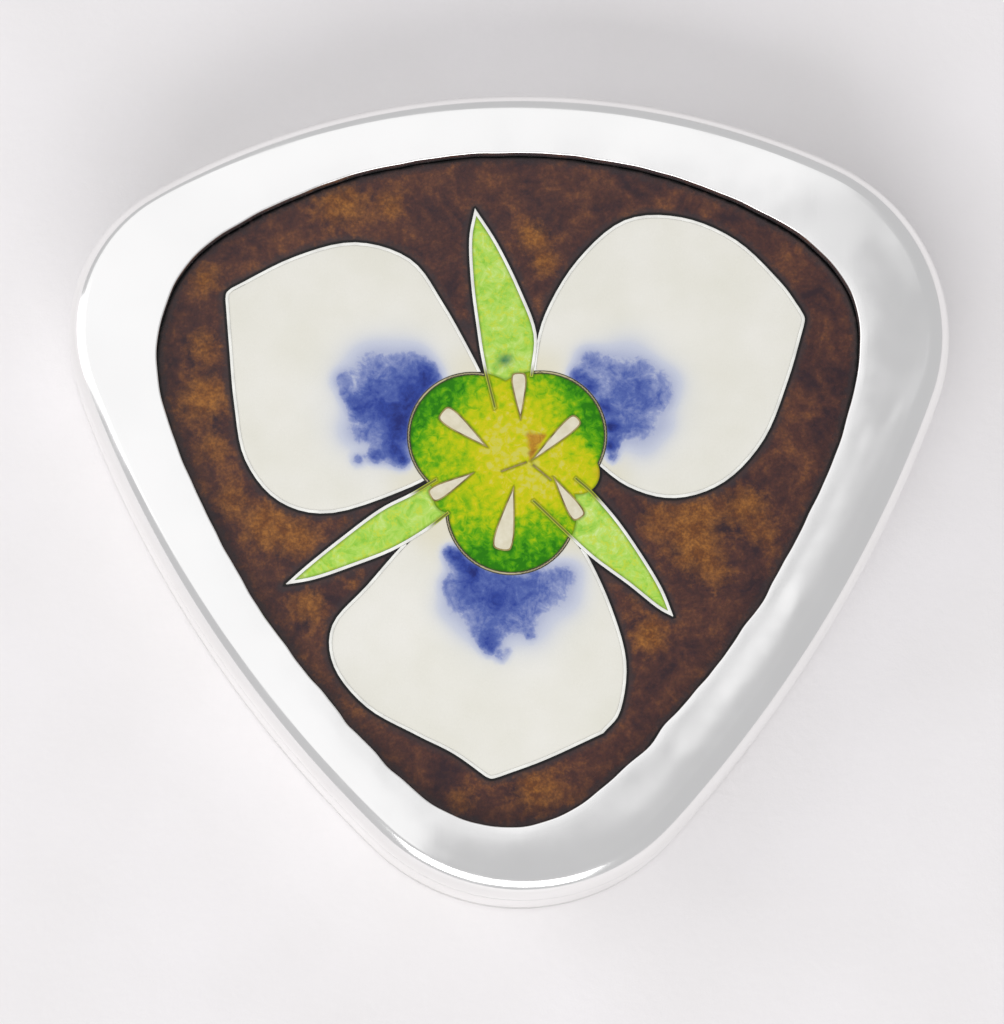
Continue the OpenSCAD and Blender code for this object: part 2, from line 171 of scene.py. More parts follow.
def periodic_spline(knots, points, at):
    """Smooth closed curve through points at rising knots, the last knot being the first again."""
    n = len(points)
    h = np.diff(knots)
    slope = (np.roll(points, -1, axis=0) - points) / h[:, None]
    m = np.zeros((n, n))
    for i in range(n):
        m[i, i - 1], m[i, i], m[i, (i + 1) % n] = h[i - 1], 2 * (h[i - 1] + h[i]), h[i]
    second = np.linalg.solve(m, 6 * (slope - np.roll(slope, 1, axis=0)))
    i = np.clip(np.searchsorted(knots, at, side="right") - 1, 0, n - 1)
    j = (i + 1) % n
    t, w = (at - knots[i])[:, None], h[i][:, None]
    s0, s1 = second[i], second[j]
    return points[i] + t * (slope[i] - w * (2 * s0 + s1) / 6) + t**2 * s0 / 2 + t**3 * (s1 - s0) / (6 * w)


def smoothstep(x, low, high):
    """0 below low, 1 above high, with a smooth rise between."""
    t = np.clip((x - low) / (high - low), 0, 1)
    return t * t * (3 - 2 * t)


# ---- making pieces ----

def finish_piece(mesh, node, material):
    """Puts a mesh in the scene as the smooth-shaded piece that stands in for a CAD node."""
    piece = bpy.data.objects.new(node + "_piece", mesh)
    bpy.context.scene.collection.objects.link(piece)
    mesh.materials.append(material)
    mesh.polygons.foreach_set("use_smooth", [True] * len(mesh.polygons))
    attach(piece, BODY[node])
    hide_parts(node)
    return piece


def new_mesh(name, points, faces):
    """A mesh from points in millimetres, with its faces turned outwards."""
    mesh = bpy.data.meshes.new(name)
    mesh.from_pydata([tuple(p) for p in np.asarray(points, float) * MM], [], faces)
    mesh.validate()
    bm = bmesh.new()
    bm.from_mesh(mesh)
    bmesh.ops.recalc_face_normals(bm, faces=bm.faces)
    bm.to_mesh(mesh)
    bm.free()
    return mesh


def give(mesh, name, values):
    """One number for every vertex, for the material to read by name."""
    layer = mesh.attributes.new(name, "FLOAT", "POINT")
    layer.data.foreach_set("value", np.asarray(values, np.float32))


# The dome of the plaque: its crown is the top of the highest cell, its radius is the CAD's
DOME_TOP = max(corners(n)[1][2] for n in frame["nodes"] if n.endswith("_enamel"))
DOME_R = 450.0
CELL_DEPTH = 0.6


def dome(points):
    return DOME_TOP - (points**2).sum(axis=1) / (2 * DOME_R)


def cell(node, material, spacing, rings, lift, extra=None):
    """A cell of the plaque: a closed slab under the dome, with finer points along its outline.

    rings are the distances of those points from the outline, spacing is that of the points within.
    lift gives the height above the dome from the distance to the outline.
    extra maps a name to a function of (points, distance) whose values the material reads."""
    loops = [finer(loop, max(0.25, spacing * 0.8)) for loop in plan_loops(node)]
    outline = np.concatenate(loops)
    inner = []
    for r in rings:
        for loop in loops:
            p = offset_points(loop, r)
            inner.append(p[distance(p, loops) > 0.93 * r])
    if spacing:
        (x0, y0), (x1, y1) = outline.min(axis=0), outline.max(axis=0)
        rows = np.arange(y0, y1, spacing * 0.866)
        grid = np.array([(x + spacing / 2 * (k % 2), y) for k, y in enumerate(rows)
                         for x in np.arange(x0, x1, spacing)])
        clear = max([spacing * 0.45] + [r + spacing * 0.3 for r in rings])
        inner.append(grid[distance(grid, loops) > clear])
    inner = np.concatenate(inner) if inner else np.zeros((0, 2))
    inner = inner[inside(inner, loops)]
    flat = np.concatenate([outline, inner])
    edges, k = [], 0
    for loop in loops:
        n = len(loop)
        edges += [(k + i, k + (i + 1) % n) for i in range(n)]
        k += n
    verts, _, faces, _, _, _ = delaunay_2d_cdt([Vector(p) for p in flat], edges, [], 0, 1e-6)
    verts = np.array([tuple(v) for v in verts])
    faces = [f for f, ok in zip(faces, inside(verts[faces].mean(axis=1), loops)) if ok]
    used = sorted({v for f in faces for v in f})
    number = {v: i for i, v in enumerate(used)}
    top = verts[used]
    faces = [[number[v] for v in f] for f in faces]
    away = distance(top, loops)
    n = len(top)
    z = dome(top)
    points = np.concatenate([np.column_stack([top, z + lift(away)]),
                             np.column_stack([top, z - CELL_DEPTH])])
    rim = {}
    for f in faces:
        for a, b in zip(f, f[1:] + f[:1]):
            rim[(a, b)] = True
    sides = [(a, b, b + n, a + n) for a, b in rim if (b, a) not in rim]
    under = [[v + n for v in reversed(f)] for f in faces]
    mesh = new_mesh(node, points, faces + under + sides)
    for name, rule in {"edge": lambda p, d: d, **(extra or {})}.items():
        values = rule(top, away)
        give(mesh, name, np.concatenate([values, values]))
    piece = finish_piece(mesh, node, material)
    mark_sharp(mesh)
    return piece


def mark_sharp(mesh, angle=40):
    """Keeps corners crisp while the rest shades smoothly."""
    bm = bmesh.new()
    bm.from_mesh(mesh)
    for e in bm.edges:
        e.smooth = len(e.link_faces) == 2 and e.calc_face_angle(0) < math.radians(angle)
    bm.to_mesh(mesh)
    bm.free()


def softened(node, material, width):
    """A turned, drawn or sawn piece: the CAD node with its flats merged and its edges rounded by width."""
    points, faces = welded(node)
    mesh = new_mesh(node, points, faces)
    bm = bmesh.new()
    bm.from_mesh(mesh)
    bmesh.ops.dissolve_limit(bm, angle_limit=math.radians(1), verts=bm.verts, edges=bm.edges)
    sharp = [e for e in bm.edges if len(e.link_faces) == 2 and e.calc_face_angle(0) > math.radians(35)]
    if width:
        bmesh.ops.bevel(bm, geom=sharp, offset=width * MM, offset_type="OFFSET", segments=2, profile=0.5,
                        affect="EDGES", clamp_overlap=True)
    bmesh.ops.recalc_face_normals(bm, faces=bm.faces)
    bm.to_mesh(mesh)
    bm.free()
    piece = finish_piece(mesh, node, material)
    mark_sharp(mesh, 50)
    return piece


# ---- materials ----

class Shade:
    """A node material whose principled shader is called body."""

    def __init__(self, name):
        self.mat = bpy.data.materials.new(name)
        self.mat.use_nodes = True
        self.tree = self.mat.node_tree
        self.tree.nodes.clear()
        out = self.tree.nodes.new("ShaderNodeOutputMaterial")
        self.body = self.tree.nodes.new("ShaderNodeBsdfPrincipled")
        self.tree.links.new(self.body.outputs[0], out.inputs[0])
        self.place = self.tree.nodes.new("ShaderNodeTexCoord").outputs["Object"]

    def put(self, socket, value):
        if isinstance(value, bpy.types.NodeSocket):
            self.tree.links.new(value, socket)
        else:
            socket.default_value = value

    def set(self, **values):
        for name, value in values.items():
            self.put(self.body.inputs[name.replace("_", " ")], value)
        return self

    def math(self, op, a, b=0.0, clamp=False):
        n = self.tree.nodes.new("ShaderNodeMath")
        n.operation, n.use_clamp = op, clamp
        self.put(n.inputs[0], a)
        self.put(n.inputs[1], b)
        return n.outputs[0]

    def shaken(self, value, noise, share, middle=0.5, clamp=False):
        """A value pushed up and down by a noise around its middle."""
        push = self.math("MULTIPLY", self.math("SUBTRACT", noise, middle), share)
        return self.math("ADD", value, push, clamp)

    def stretch(self, scale, angle=0.0):
        n = self.tree.nodes.new("ShaderNodeMapping")
        self.put(n.inputs["Vector"], self.place)
        n.inputs["Scale"].default_value = scale
        n.inputs["Rotation"].default_value = (0, 0, math.radians(angle))
        return n.outputs[0]

    def noise(self, size, detail=2.0, rough=0.5, bend=0.0, where=None):
        """Noise whose features are about size millimetres across."""
        n = self.tree.nodes.new("ShaderNodeTexNoise")
        self.put(n.inputs["Vector"], self.place if where is None else where)
        n.inputs["Scale"].default_value = 1 / (size * MM)
        n.inputs["Detail"].default_value = detail
        n.inputs["Roughness"].default_value = rough
        n.inputs["Distortion"].default_value = bend
        return n.outputs[0]

    def cells(self, size, smooth=0.0):
        """Distance and colour of rounded flakes about size millimetres across."""
        n = self.tree.nodes.new("ShaderNodeTexVoronoi")
        n.feature = "SMOOTH_F1" if smooth else "F1"
        self.put(n.inputs["Vector"], self.place)
        n.inputs["Scale"].default_value = 1 / (size * MM)
        if smooth:
            n.inputs["Smoothness"].default_value = smooth
        return n.outputs

    def ramp(self, value, *stops, mode="LINEAR"):
        n = self.tree.nodes.new("ShaderNodeValToRGB")
        n.color_ramp.interpolation = mode
        while len(n.color_ramp.elements) < len(stops):
            n.color_ramp.elements.new(0.5)
        for e, (at, _) in zip(n.color_ramp.elements, stops):
            e.position = at
        for e, (_, colour) in zip(n.color_ramp.elements, stops):
            e.color = tuple(colour) + (1,) if hasattr(colour, "__len__") else (colour, colour, colour, 1)
        self.put(n.inputs[0], value)
        return n.outputs[0]

    def mix(self, share, a, b, mode="MIX"):
        n = self.tree.nodes.new("ShaderNodeMix")
        n.data_type, n.blend_type = "RGBA", mode
        self.put(n.inputs[0], share)
        for socket, value in ((n.inputs[6], a), (n.inputs[7], b)):
            self.put(socket, value if isinstance(value, bpy.types.NodeSocket) else tuple(value) + (1,))
        return n.outputs[2]

    def named(self, name):
        n = self.tree.nodes.new("ShaderNodeAttribute")
        n.attribute_name = name
        return n.outputs["Fac"]

    def bump(self, height, depth, after=None):
        """Relief of depth millimetres, laid over another relief if one is given."""
        n = self.tree.nodes.new("ShaderNodeBump")
        n.inputs["Strength"].default_value = 1.0
        n.inputs["Distance"].default_value = depth * MM
        self.put(n.inputs["Height"], height)
        if after is not None:
            self.put(n.inputs["Normal"], after)
        return n.outputs[0]


def srgb(r, g, b):
    """A linear colour from the eye's 0-255 scale."""
    return tuple((c / 255 / 12.92) if c <= 10 else ((c / 255 + 0.055) / 1.055) ** 2.4 for c in (r, g, b))


def polished_silver():
    s = Shade("polished_silver")
    haze = s.ramp(s.noise(2.5, 3), (0.3, 0.1), (0.75, 0.19))
    lines = s.noise(0.5, 4, 0.6, where=s.stretch((1, 0.06, 1), 35))
    tone = s.ramp(s.noise(7, 2), (0.35, (0.95, 0.945, 0.935)), (0.65, (0.98, 0.975, 0.965)))
    wave = s.bump(s.noise(6, 1.5), 0.05)
    return s.set(Base_Color=tone, Metallic=1.0, Roughness=haze, Normal=s.bump(lines, 0.0006, wave)).mat


def satin_silver(name, colour, angle):
    s = Shade(name)
    lines = s.noise(0.35, 5, 0.65, where=s.stretch((0.04, 1, 1), angle))
    patches = s.noise(3, 3)
    dark = tuple(c * 0.78 for c in colour)
    tone = s.mix(s.ramp(patches, (0.35, 0.0), (0.7, 1.0)), dark, colour)
    rough = s.ramp(s.math("ADD", s.math("MULTIPLY", lines, 0.5), s.math("MULTIPLY", patches, 0.5)),
                   (0.3, 0.22), (0.7, 0.42))
    return s.set(Base_Color=tone, Metallic=1.0, Roughness=rough, Normal=s.bump(lines, 0.003)).mat


def steel(name, colour, size):
    s = Shade(name)
    rings = s.noise(size, 4, 0.6, where=s.stretch((1, 0.08, 0.08)))
    tone = s.ramp(s.noise(1.5, 3), (0.3, tuple(c * 0.85 for c in colour)), (0.7, colour))
    rough = s.ramp(rings, (0.3, 0.12), (0.7, 0.3))
    return s.set(Base_Color=tone, Metallic=1.0, Roughness=rough, Normal=s.bump(rings, 0.002)).mat


def wire_silver(name, colour, painted_shade_width, core):
    """Rolled silver wire, with painted shade darkening it within the given width of its sides.

    Where root is 1 it has sunk into the enamel and shows only as a thin dark line along its core."""
    s = Shade(name)
    tone = s.ramp(s.noise(0.8, 3), (0.3, colour), (0.7, tuple(min(1, c * 1.25) for c in colour)))
    edge = s.named("edge")
    # Painted shade: dark brown along the wire's sides, where its rounded flanks turn away from the light
    tone = s.mix(s.ramp(edge, (painted_shade_width * 0.45, 1.0), (painted_shade_width, 0.0)), tone, srgb(60, 56, 40))
    sunk = s.mix(s.ramp(edge, (core, 0.0), (core + 0.02, 1.0)), srgb(176, 186, 40), srgb(66, 70, 16))
    tone = s.mix(s.named("root"), tone, sunk)
    rough = s.ramp(s.noise(0.25, 3), (0.3, 0.25), (0.7, 0.45))
    shine = s.ramp(s.named("root"), (0.2, 0.35), (0.6, 0.0))
    relief = s.bump(s.noise(0.2, 2), 0.004)
    return s.set(Base_Color=tone, Metallic=shine, Roughness=rough, Normal=relief).mat


def fine_wire():
    s = Shade("fine_wire")
    tone = s.ramp(s.noise(0.6, 3), (0.35, srgb(116, 98, 44)), (0.7, srgb(184, 166, 104)))
    rough = s.ramp(s.noise(0.2, 2), (0.3, 0.4), (0.7, 0.6))
    relief = s.bump(s.noise(0.15, 2), 0.004)
    return s.set(Base_Color=tone, Metallic=0.3, Roughness=rough, Normal=relief).mat


def enamel(s, colour, rough=(0.22, 0.36), level=0.3, relief=0.006):
    """Silky, stoned enamel: a little gloss, faint ripples."""
    gloss = s.ramp(s.noise(0.9, 3), (0.3, rough[0]), (0.7, rough[1]))
    ripple = s.bump(s.noise(1.6, 2), relief)
    s.set(Base_Color=colour, Roughness=gloss, Specular_IOR_Level=level, Normal=ripple)
    return s.mat


def ground_material():
    s = Shade("brown_enamel")
    edge = s.named("edge")
    cloud = s.noise(2.2, 5, 0.62, 0.8)
    speck = s.noise(0.5, 5, 0.7)
    grain = s.noise(0.15, 3, 0.6)
    base = s.ramp(s.math("ADD", s.math("MULTIPLY", cloud, 0.6), s.math("MULTIPLY", speck, 0.4)),
                  (0.38, srgb(48, 28, 36)), (0.5, srgb(80, 46, 40)), (0.62, srgb(112, 68, 46)))
    warm = s.math("ADD", s.math("MULTIPLY", s.named("glow"), 0.8), s.math("MULTIPLY", cloud, 0.8))
    warm = s.shaken(warm, speck, 0.8)
    amber = s.ramp(s.noise(0.6, 4, 0.6), (0.36, srgb(118, 68, 26)), (0.64, srgb(162, 104, 44)))
    tone = s.mix(s.ramp(warm, (0.5, 0.0), (1.1, 0.95)), base, amber)
    # A grey band, darker along the frame's window and the wires
    band = s.ramp(s.shaken(edge, speck, 0.7), (0.12, 0.8), (0.55, 0.0), mode="EASE")
    tone = s.mix(band, tone, srgb(58, 48, 50))
    tone = s.mix(s.ramp(grain, (0.4, 0.35), (0.62, 0.0)), tone, srgb(44, 28, 28))
    # Painted shadow: a black line within a hair of the window and the wires, where shade falls under the
    # lip and beside the wires
    line = s.ramp(edge, (0.09, 0.0), (0.18, 1.0))
    tone = s.mix(line, srgb(8, 6, 8), tone)
    return enamel(s, tone, (0.2, 0.34), 0.32)


def white_material():
    s = Shade("white_enamel")
    stain = s.named("stain")
    blot = s.noise(0.9, 5, 0.66, 0.5)
    fine = s.noise(0.22, 4, 0.65)
    shaky = s.shaken(s.shaken(s.math("MULTIPLY", stain, 1.04), blot, 0.85), fine, 0.3)
    amount = s.math("MULTIPLY", shaky, s.ramp(stain, (0.12, 0.0), (0.36, 1.0)), clamp=True)
    amount = s.math("MAXIMUM", amount, s.ramp(stain, (0.01, 0.0), (0.3, 0.24)))
    cream = s.ramp(s.noise(4, 3), (0.3, srgb(228, 226, 214)), (0.7, srgb(236, 234, 226)))
    blue = s.ramp(amount, (0.0, srgb(228, 228, 222)), (0.16, srgb(198, 203, 218)),
                  (0.36, srgb(136, 148, 194)), (0.56, srgb(80, 100, 170)), (0.76, srgb(36, 62, 150)),
                  (0.95, srgb(8, 30, 112)))
    tone = s.mix(s.ramp(amount, (0.0, 0.0), (0.14, 1.0)), cream, blue)
    gold = s.math("MULTIPLY", s.named("warmth"), s.ramp(amount, (0.0, 0.4), (0.15, 0.0)))
    tone = s.mix(gold, tone, srgb(214, 204, 160))
    # Painted shade: grey within a hair of the wires around the petal
    tone = s.mix(s.ramp(s.named("edge"), (0.0, 0.15), (0.09, 0.0)), tone, srgb(150, 148, 140))
    return enamel(s, tone, (0.2, 0.34), 0.35, 0.004)


def green_material():
    s = Shade("green_enamel")
    root = s.named("root")
    patch = s.noise(0.8, 5, 0.68, 0.8)
    streak = s.noise(0.32, 4, 0.7)
    leaf = s.ramp(patch, (0.34, srgb(138, 196, 58)), (0.46, srgb(166, 212, 80)),
                  (0.58, srgb(188, 222, 106)), (0.7, srgb(210, 232, 152)))
    leaf = s.mix(s.ramp(streak, (0.5, 0.0), (0.62, 0.8)), leaf, srgb(196, 214, 62))
    yellow = s.ramp(streak, (0.36, srgb(168, 186, 8)), (0.64, srgb(214, 206, 48)))
    tone = s.mix(s.ramp(s.shaken(root, patch, 0.9), (0.35, 0.0), (0.6, 1.0)), leaf, yellow)
    tone = s.mix(s.named("spot"), tone, srgb(20, 104, 84))
    # Painted shade: darker green within a hair of the wires around the sepal
    tone = s.mix(s.ramp(s.named("edge"), (0.02, 0.6), (0.14, 0.0)), tone, srgb(96, 132, 30))
    return enamel(s, tone, (0.2, 0.34), 0.25)


def heart_material():
    s = Shade("heart_enamel")
    flake = s.cells(0.4, smooth=0.5)[0]
    streak = s.noise(0.45, 5, 0.7, 1.2)
    fine = s.noise(0.16, 3, 0.6)
    t = s.shaken(s.named("deep"), streak, 1.1)
    t = s.shaken(t, flake, 0.45, middle=0.42)
    t = s.shaken(t, fine, 0.2, clamp=True)
    tone = s.ramp(t, (0.0, srgb(206, 202, 84)), (0.14, srgb(206, 198, 18)), (0.34, srgb(184, 196, 0)),
                  (0.52, srgb(150, 186, 2)), (0.7, srgb(100, 168, 0)), (0.88, srgb(64, 148, 0)),
                  (1.0, srgb(38, 120, 0)))
    rust = s.ramp(streak, (0.35, srgb(150, 92, 14)), (0.65, srgb(204, 152, 50)))
    tone = s.mix(s.named("copper"), tone, rust)
    # Painted shade: deep green within a hair of the wires around the heart
    tone = s.mix(s.ramp(s.named("edge"), (0.0, 0.6), (0.12, 0.0)), tone, srgb(40, 70, 8))
    return enamel(s, tone, (0.16, 0.3), 0.16, 0.01)


def ivory_material():
    s = Shade("ivory_enamel")
    tone = s.ramp(s.noise(0.5, 4, 0.6), (0.3, srgb(214, 206, 178)), (0.7, srgb(230, 224, 202)))
    return enamel(s, tone, (0.2, 0.34), 0.3)


def counter_material():
    s = Shade("counter_enamel")
    tone = s.ramp(s.noise(0.8, 4, 0.6), (0.35, srgb(28, 30, 46)), (0.7, srgb(74, 78, 104)))
    return enamel(s, tone, (0.2, 0.4), 0.5)


def cork_material():
    s = Shade("cork_pad")
    grain = s.cells(0.35)[1]
    flecks = s.ramp(s.noise(0.5, 4), (0.3, srgb(120, 84, 50)), (0.7, srgb(188, 142, 94)))
    tone = s.mix(0.5, flecks, srgb(150, 110, 70))
    rough = s.ramp(grain, (0.2, 0.75), (0.8, 0.92))
    return s.set(Base_Color=tone, Roughness=rough, Normal=s.bump(s.noise(0.3, 3), 0.03)).mat


def floor_material():
    s = Shade("pale_floor")
    tone = s.ramp(s.noise(14, 3), (0.3, srgb(236, 233, 233)), (0.7, srgb(242, 239, 240)))
    rough = s.ramp(s.noise(1, 2), (0.3, 0.7), (0.7, 0.85))
    return s.set(Base_Color=tone, Roughness=rough, Specular_IOR_Level=0.2,
                 Normal=s.bump(s.noise(0.5, 3, 0.6), 0.02)).mat


SILVER = polished_silver()
SATIN = satin_silver("satin_silver", (0.84, 0.83, 0.81), 20)
FINE_SILVER = satin_silver("fine_silver", (0.88, 0.87, 0.85), 60)
WIRE = wire_silver("cloison_wire", srgb(232, 231, 225), 0.008, 0.03)
LOBE_WIRE = wire_silver("lobe_wire", srgb(222, 210, 164), 0.075, 0.03)
FINE_WIRE = fine_wire()
FIXINGS = steel("steel_fixings", (0.72, 0.71, 0.70), 0.3)
PIN_STEEL = steel("pin_steel", (0.74, 0.74, 0.75), 0.25)
GROUND = ground_material()
WHITE = white_material()
GREEN = green_material()
HEART = heart_material()
IVORY = ivory_material()
COUNTER = counter_material()
CORK = cork_material()


# ---- case ----

PLATE_TOP = corners("front_plate")[1][2]
SEAM_Z = corners("front_plate")[0][2]
STATIONS = 720

plate_loops = plan_loops("front_plate", -1)
case_loop, window_loop = plate_loops[0], plate_loops[-1]
if area_of(case_loop) < 0:
    case_loop = case_loop[::-1]
if area_of(window_loop) < 0:
    window_loop = window_loop[::-1]


def paired(a, b):
    """Loop b, started where it lies closest to loop a's points."""
    best = min(range(len(b)), key=lambda k: float(np.linalg.norm(a - np.roll(b, -k, axis=0), axis=1).sum()))
    return np.roll(b, -best, axis=0)


window_loop = paired(case_loop, window_loop)
middle = (case_loop + window_loop) / 2
steps = np.linalg.norm(np.roll(middle, -1, axis=0) - middle, axis=1)
knots = np.concatenate([[0], np.cumsum(steps)])
at = np.linspace(0, knots[-1], STATIONS, endpoint=False)
CASE = periodic_spline(knots, case_loop, at)
WINDOW = periodic_spline(knots, window_loop, at)


def outward(loop):
    """Directions pointing out of a closed counter-clockwise curve."""
    ahead = np.roll(loop, -1, axis=0) - np.roll(loop, 1, axis=0)
    ahead /= np.linalg.norm(ahead, axis=1, keepdims=True)
    return np.stack([ahead[:, 1], -ahead[:, 0]], axis=1)


CASE_OUT, WINDOW_OUT = outward(CASE), outward(WINDOW)

# Where the saw strayed from the window's line: [bearing in degrees, width in degrees, millimetres outwards]
SAW_MARKS = [[17, 6, -0.2], [30, 5, 0.18], [-24, 4, 0.12], [48, 7, -0.06], [118, 5, 0.05],
             [146, 5, 0.08], [163, 6, -0.08], [205, 6, 0.05], [228, 3, -0.07], [236, 2, 0.06],
             [247, 2.5, 0.1], [284, 6, -0.08], [297, 3, 0.12], [303, 3, -0.08], [322, 5, 0.06]]
# Ripples of the saw all along it: [waves round the window, millimetres]
SAW_RIPPLES = [(23, 0.012), (41, 0.009), (67, 0.006)]
bearing = np.degrees(np.arctan2(WINDOW[:, 1], WINDOW[:, 0])) % 360
stray = np.zeros(STATIONS)
for angle, width, push in SAW_MARKS:
    off = (bearing - angle + 180) % 360 - 180
    stray += push * np.exp(-(off / width) ** 2)
for k, (turns, size) in enumerate(SAW_RIPPLES):
    stray += size * np.sin(np.radians(bearing) * turns + 1.7 * k)
SAWN = WINDOW + WINDOW_OUT * stray[:, None]

# Sections of the front plate and the side band, in millimetres
ROLL_IN, ROLL_UP = 1.2, 1.5     # how far in and how far down the rounded shoulder reaches
SHOULDER_Z = PLATE_TOP - 0.13   # height at which the shoulder meets the crown
CROWN_W = 0.6                   # nearly level ground beside the window
CROWN_FALL = 0.001              # how far the level ground dips at its inner edge
EDGE_R = 0.07                   # rounding of the window's edge
LIP_Z = 5.72                    # underside of the lip over the plaque
BAND_T = 0.9                    # thickness of the wall
SEAM_CHAMFER = 0.03             # the fine groove where plate and band meet
FOOT_R = 0.22                   # rounding of the band's back edge


def ring_points(loop, z):
    return np.column_stack([loop, np.full(len(loop), z)])


def lofted(rings):
    """Points and faces of a closed band of rings, the last joined to the first."""
    n, m = len(rings[0]), len(rings)
    faces = [(k * n + j, k * n + (j + 1) % n, (k + 1) % m * n + (j + 1) % n, (k + 1) % m * n + j)
             for k in range(m) for j in range(n)]
    return np.concatenate(rings), faces


def front_plate():
    rings = [ring_points(CASE - CASE_OUT * SEAM_CHAMFER, SEAM_Z), ring_points(CASE, SEAM_Z + SEAM_CHAMFER)]
    for z in np.linspace(SEAM_Z + SEAM_CHAMFER, SHOULDER_Z - ROLL_UP, 3)[1:-1]:
        rings.append(ring_points(CASE, z))
    for a in np.radians(np.linspace(0, 84, 15)):
        rings.append(ring_points(CASE - CASE_OUT * ROLL_IN * (1 - math.cos(a)),
                                 SHOULDER_Z - ROLL_UP * (1 - math.sin(a))))
    start = CASE - CASE_OUT * ROLL_IN
    stop = SAWN + WINDOW_OUT * CROWN_W
    for t in np.linspace(0.06, 1, 9):
        z = SHOULDER_Z + (PLATE_TOP - SHOULDER_Z) * (1 - (1 - t) ** 2)
        rings.append(ring_points(start * (1 - t) + stop * t, z))
    for w in (0.45, EDGE_R + 0.02):
        rings.append(ring_points(SAWN + WINDOW_OUT * w, PLATE_TOP - CROWN_FALL))
    for a in np.radians([0, 22, 45, 68, 90]):
        rings.append(ring_points(SAWN + WINDOW_OUT * EDGE_R * (1 - math.sin(a)),
                                 PLATE_TOP - 2 * CROWN_FALL - EDGE_R * (1 - math.cos(a))))
    rings += [ring_points(SAWN, LIP_Z), ring_points(CASE - CASE_OUT * BAND_T, LIP_Z),
              ring_points(CASE - CASE_OUT * BAND_T, SEAM_Z)]
    mesh = new_mesh("front_plate", *lofted(rings))
    finish_piece(mesh, "front_plate", SILVER)
    mark_sharp(mesh, 60)


def side_band():
    rim_z = corners("side_band")[0][2]
    rings = []
    for a in np.radians([0, 30, 60, 90]):
        rings.append(ring_points(CASE - CASE_OUT * FOOT_R * (1 - math.sin(a)),
                                 rim_z + FOOT_R * (1 - math.cos(a))))
    for z in np.linspace(rim_z + FOOT_R, SEAM_Z - SEAM_CHAMFER, 5)[1:]:
        rings.append(ring_points(CASE, z))
    rings.append(ring_points(CASE - CASE_OUT * SEAM_CHAMFER, SEAM_Z))
    inner = CASE - CASE_OUT * BAND_T
    rings.append(ring_points(inner, SEAM_Z))
    for a in np.radians([90, 60, 30, 0]):
        rings.append(ring_points(inner + CASE_OUT * FOOT_R * (1 - math.sin(a)),
                                 rim_z + FOOT_R * (1 - math.cos(a))))
    mesh = new_mesh("side_band", *lofted(rings))
    finish_piece(mesh, "side_band", SILVER)
    mark_sharp(mesh, 60)


front_plate()
side_band()


# ---- plaque ----

MIDDLE = (np.array(CAD_BOX[0]) + np.array(CAD_BOX[1]))[:2] / 2 / MM


def blobs(spots):
    """Soft spots: [across, up, radius, strength] in millimetres from the middle of the case."""
    def rule(points, away):
        clean = np.ones(len(points))
        for x, y, r, strength in spots:
            clean *= 1 - strength * np.exp(-((points - MIDDLE - [x, y]) ** 2).sum(axis=1) / r**2)
        return 1 - clean
    return rule


def painted(tones, reach):
    """A tone blended between marks: [across, up, tone] in millimetres from the middle of the case."""
    def rule(points, away):
        total, weight = np.zeros(len(points)), np.full(len(points), 1e-9)
        for x, y, tone in tones:
            w = np.exp(-((points - MIDDLE - [x, y]) ** 2).sum(axis=1) / reach**2)
            total += w * tone
            weight += w
        return total / weight
    return rule


def lines_lift(away):
    """Wires reach the dome, a hair proud of the enamel, and are rounded by stoning."""
    return 0.008 * smoothstep(away, 0, 0.05) - 0.008


def fine_lift(away):
    """Stamen wires and veins are too thin to round: flat, just under the dome."""
    return 0 * away - 0.008


def enamel_lift(away):
    """Enamel draws down a little where it meets a wire."""
    return -0.012 + 0.008 * smoothstep(away, 0, 0.35)


HEART_MID = np.mean([(corners(n)[0] + corners(n)[1])[:2] / 2
                     for n in ("lobe_left_wire", "lobe_right_wire", "lobe_lower_wire")], axis=0)

# Amber patches fired into the brown ground
GLOW = [[-9, 15.3, 1.2, 0.8], [-6.4, 15.3, 0.8, 0.6], [1.2, 13.6, 0.8, 0.9], [1.8, 12.2, 0.7, 0.8],
        [-16, 11.2, 0.8, 0.6], [-16.2, 7.6, 0.9, 0.7], [-16.1, 4.8, 1.2, 1.0], [-15.6, 2.2, 0.9, 0.6],
        [-14.6, -0.6, 1.0, 0.6], [-12.6, -2, 1.2, 1.0], [-11.2, -2.6, 1.0, 0.9], [-8.4, -1.8, 0.7, 0.4],
        [-10.6, -6.2, 1.0, 0.8], [-8, -4.9, 0.6, 0.4], [7.6, -1.5, 1.0, 0.6], [9.6, -1.6, 1.3, 0.9],
        [12.2, -0.8, 1.2, 0.8], [9.6, -3.2, 1.2, 0.9], [13.2, -2.4, 0.9, 0.5], [7.2, -7.6, 0.9, 0.8],
        [6.6, -5.6, 0.5, 0.4], [1.2, -15.6, 1.4, 0.6], [-2.6, -16.2, 0.8, 0.5], [10.8, -4.4, 0.9, 0.5]]

